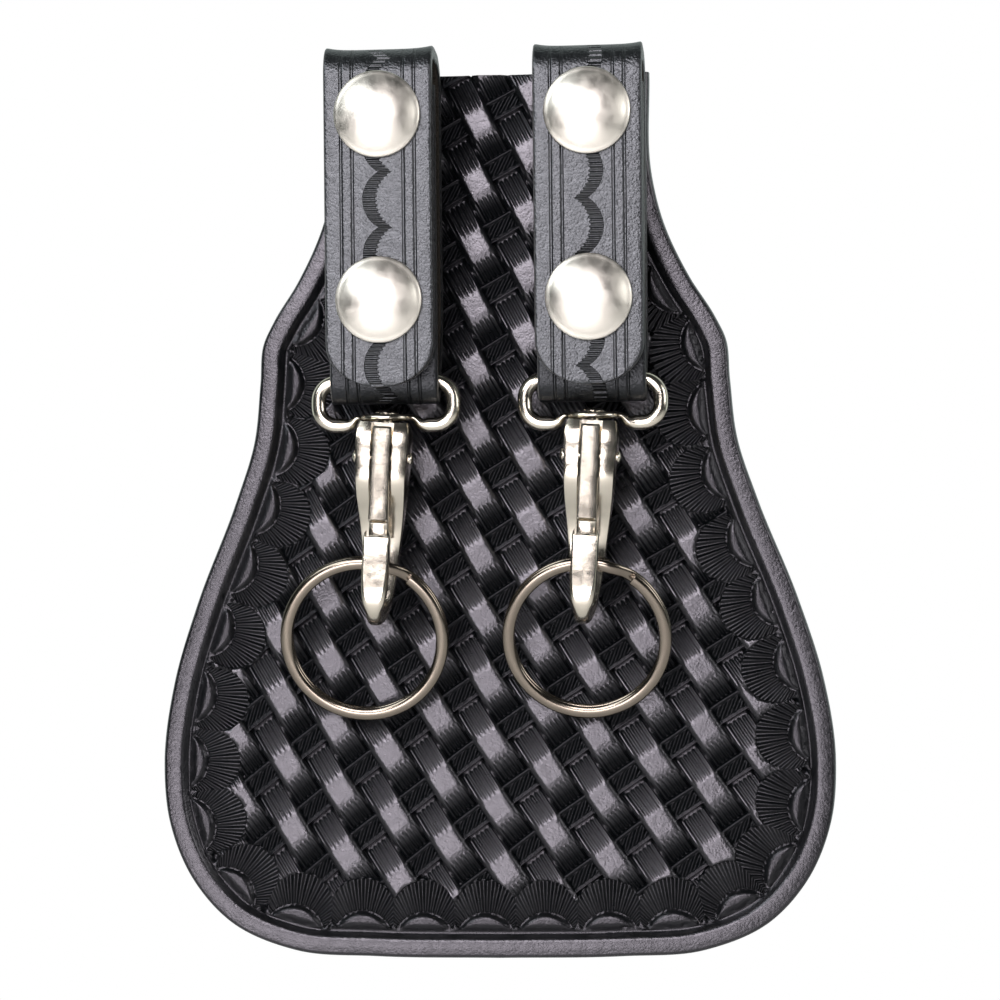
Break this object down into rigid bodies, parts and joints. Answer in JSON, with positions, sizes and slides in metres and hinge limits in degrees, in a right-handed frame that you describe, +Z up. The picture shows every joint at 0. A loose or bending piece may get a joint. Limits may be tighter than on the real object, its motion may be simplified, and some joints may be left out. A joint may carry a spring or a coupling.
{
  "type": "key sheath",
  "caption": "Tooled leather key sheath: bell-shaped panel with snap-closed strap loops for a belt, each carrying a swivel snap hook and a split ring.",
  "frame": {"origin": "middle of the belt's way through the strap loops, halfway between the straps and halfway between base ply and back ply", "axes": "+Z up as worn, +X along the belt to the right of the picture, +Y from the front of the sheath through the panel to the wearer"},
  "size_m": [0.1208, 0.0248, 0.1626],
  "materials": {
    "tooled_leather": "basket-weave tooled, dyed black, satin gloss",
    "strap_leather": "border tooled, dyed black, satin gloss",
    "snap_nickel": "nickel-plated brass, satin",
    "hook_nickel": "nickel-plated casting, polished",
    "ring_steel": "nickel-plated spring steel, polished",
    "rivet_nickel": "nickel-plated, dull",
    "spring_steel": "drawn spring wire"
  },
  "bodies": {
    "root": {"back_panel": "tooled_leather", "strap_left": "strap_leather", "snap_stud_left_upper": "snap_nickel", "snap_post_left_upper": "snap_nickel", "panel_rivet_left_upper": "rivet_nickel", "rivet_burr_left_upper": "rivet_nickel", "snap_stud_left_lower": "snap_nickel", "snap_post_left_lower": "snap_nickel", "panel_rivet_left_lower": "rivet_nickel", "rivet_burr_left_lower": "rivet_nickel", "strap_right": "strap_leather", "snap_stud_right_upper": "snap_nickel", "snap_post_right_upper": "snap_nickel", "panel_rivet_right_upper": "rivet_nickel", "rivet_burr_right_upper": "rivet_nickel", "snap_stud_right_lower": "snap_nickel", "snap_post_right_lower": "snap_nickel", "panel_rivet_right_lower": "rivet_nickel", "rivet_burr_right_lower": "rivet_nickel"},
    "flap_left": {"strap_flap_left": "strap_leather", "snap_cap_left_upper": "snap_nickel", "snap_socket_left_upper": "snap_nickel", "snap_cap_left_lower": "snap_nickel", "snap_socket_left_lower": "snap_nickel"},
    "loop_left": {"hook_loop_left": "hook_nickel"},
    "hook_left": {"hook_body_left": "hook_nickel", "swivel_stem_left": "hook_nickel", "gate_pin_left": "hook_nickel"},
    "gate_left": {"gate_left": "hook_nickel", "gate_spring_left": "spring_steel"},
    "ring_left": {"split_ring_left": "ring_steel"},
    "flap_right": {"strap_flap_right": "strap_leather", "snap_cap_right_upper": "snap_nickel", "snap_socket_right_upper": "snap_nickel", "snap_cap_right_lower": "snap_nickel", "snap_socket_right_lower": "snap_nickel"},
    "loop_right": {"hook_loop_right": "hook_nickel"},
    "hook_right": {"hook_body_right": "hook_nickel", "swivel_stem_right": "hook_nickel", "gate_pin_right": "hook_nickel"},
    "gate_right": {"gate_right": "hook_nickel", "gate_spring_right": "spring_steel"},
    "ring_right": {"split_ring_right": "ring_steel"}
  },
  "joints": [
    {"name": "flap_hinge_left", "type": "hinge", "parent": "root", "child": "flap_left", "pos_m": [-0.0183, -0.0117, 0.0228], "axis": [-1, 0, 0], "range_deg": [0, 110]},
    {"name": "loop_tilt_left", "type": "hinge", "parent": "root", "child": "loop_left", "pos_m": [-0.0183, -0.0023, -0.0314], "axis": [-1, 0, 0], "range_deg": [0, 38]},
    {"name": "hook_swivel_left", "type": "hinge", "parent": "loop_left", "child": "hook_left", "pos_m": [-0.0183, -0.0023, -0.03865], "axis": [-0.0593, 0, -0.9982], "range_deg": [-15, 15]},
    {"name": "gate_hinge_left", "type": "hinge", "parent": "hook_left", "child": "gate_left", "pos_m": [-0.01867, -0.0049, -0.04489], "axis": [0.9982, 0, -0.0593], "range_deg": [0, 14], "stiffness_Nm_per_rad": 0.03, "springref_deg": -20.05},
    {"name": "ring_swing_left", "type": "hinge", "parent": "hook_left", "child": "ring_left", "pos_m": [-0.01979, -0.0038, -0.06366], "axis": [-0.9982, 0, 0.0593], "range_deg": [0, 125]},
    {"name": "flap_hinge_right", "type": "hinge", "parent": "root", "child": "flap_right", "pos_m": [0.0183, -0.0117, 0.0228], "axis": [-1, 0, 0], "range_deg": [0, 110]},
    {"name": "loop_tilt_right", "type": "hinge", "parent": "root", "child": "loop_right", "pos_m": [0.0183, -0.0023, -0.0314], "axis": [-1, 0, 0], "range_deg": [0, 38]},
    {"name": "hook_swivel_right", "type": "hinge", "parent": "loop_right", "child": "hook_right", "pos_m": [0.0183, -0.0023, -0.03865], "axis": [-0.0593, 0, -0.9982], "range_deg": [-15, 15]},
    {"name": "gate_hinge_right", "type": "hinge", "parent": "hook_right", "child": "gate_right", "pos_m": [0.01793, -0.0049, -0.04489], "axis": [0.9982, 0, -0.0593], "range_deg": [0, 14], "stiffness_Nm_per_rad": 0.03, "springref_deg": -20.05},
    {"name": "ring_swing_right", "type": "hinge", "parent": "hook_right", "child": "ring_right", "pos_m": [0.01681, -0.0046, -0.06366], "axis": [-0.9982, 0, 0.0593], "range_deg": [0, 125]}
  ]
}
